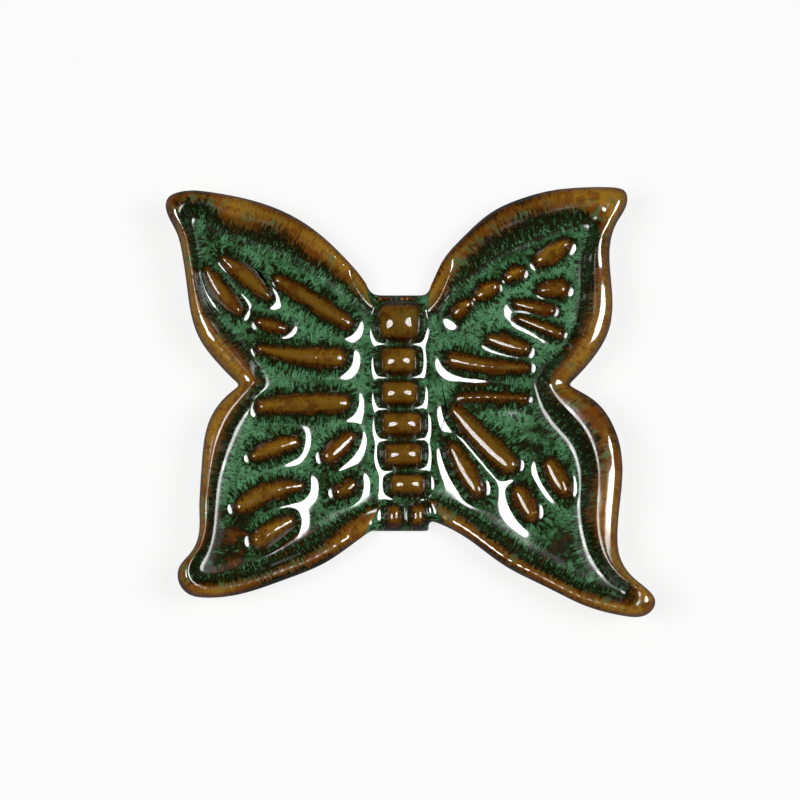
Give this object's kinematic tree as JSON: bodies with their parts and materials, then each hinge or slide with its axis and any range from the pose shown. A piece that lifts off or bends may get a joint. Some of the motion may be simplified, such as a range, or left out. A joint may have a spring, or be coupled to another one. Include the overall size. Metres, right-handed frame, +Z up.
{
  "type": "butterfly ornament",
  "caption": "Glazed pottery butterfly: dished wing leaves with rounded rims, clay pillow cells and a segmented body on a flat strip.",
  "frame": {"origin": "middle of the flat underside of the body strip, on which the ornament rests", "axes": "+X across the wings to the butterfly's side with the longer hind wing, +Y towards the head, +Z up"},
  "size_m": [0.1478, 0.1307, 0.0197],
  "materials": {
    "green_glaze": "gloss",
    "strip_glaze": "gloss",
    "body_glaze": "gloss",
    "cell_glaze": "gloss"
  },
  "bodies": {
    "root": {"body_segment_1": "body_glaze", "body_segment_2": "body_glaze", "body_segment_3": "body_glaze", "body_segment_4": "body_glaze", "body_segment_5": "body_glaze", "body_strip": "strip_glaze", "head_pillow": "body_glaze", "left_antenna_root": "body_glaze", "left_fore_long_cell": "cell_glaze", "left_fore_lower_cell": "cell_glaze", "left_fore_outer_cell": "cell_glaze", "left_fore_small_cell": "cell_glaze", "left_fore_upper_cell": "cell_glaze", "left_fore_wing": "green_glaze", "left_hind_band": "cell_glaze", "left_hind_inner_cell": "cell_glaze", "left_hind_lower_cell": "cell_glaze", "left_hind_middle_cell": "cell_glaze", "left_hind_root_cell": "cell_glaze", "left_hind_upper_cell": "cell_glaze", "left_hind_wing": "green_glaze", "left_tail_pillow": "body_glaze", "right_antenna_root": "body_glaze", "right_fore_inner_bead": "cell_glaze", "right_fore_lower_cell": "cell_glaze", "right_fore_lower_vane": "cell_glaze", "right_fore_middle_bead": "cell_glaze", "right_fore_middle_vane": "cell_glaze", "right_fore_round_cell": "cell_glaze", "right_fore_tip_cell": "cell_glaze", "right_fore_upper_bead": "cell_glaze", "right_fore_upper_vane": "cell_glaze", "right_fore_wing": "green_glaze", "right_hind_band": "cell_glaze", "right_hind_inner_cell": "cell_glaze", "right_hind_long_cell": "cell_glaze", "right_hind_lower_cell": "cell_glaze", "right_hind_outer_cell": "cell_glaze", "right_hind_wing": "green_glaze", "right_tail_pillow": "body_glaze"}
  },
  "joints": []
}
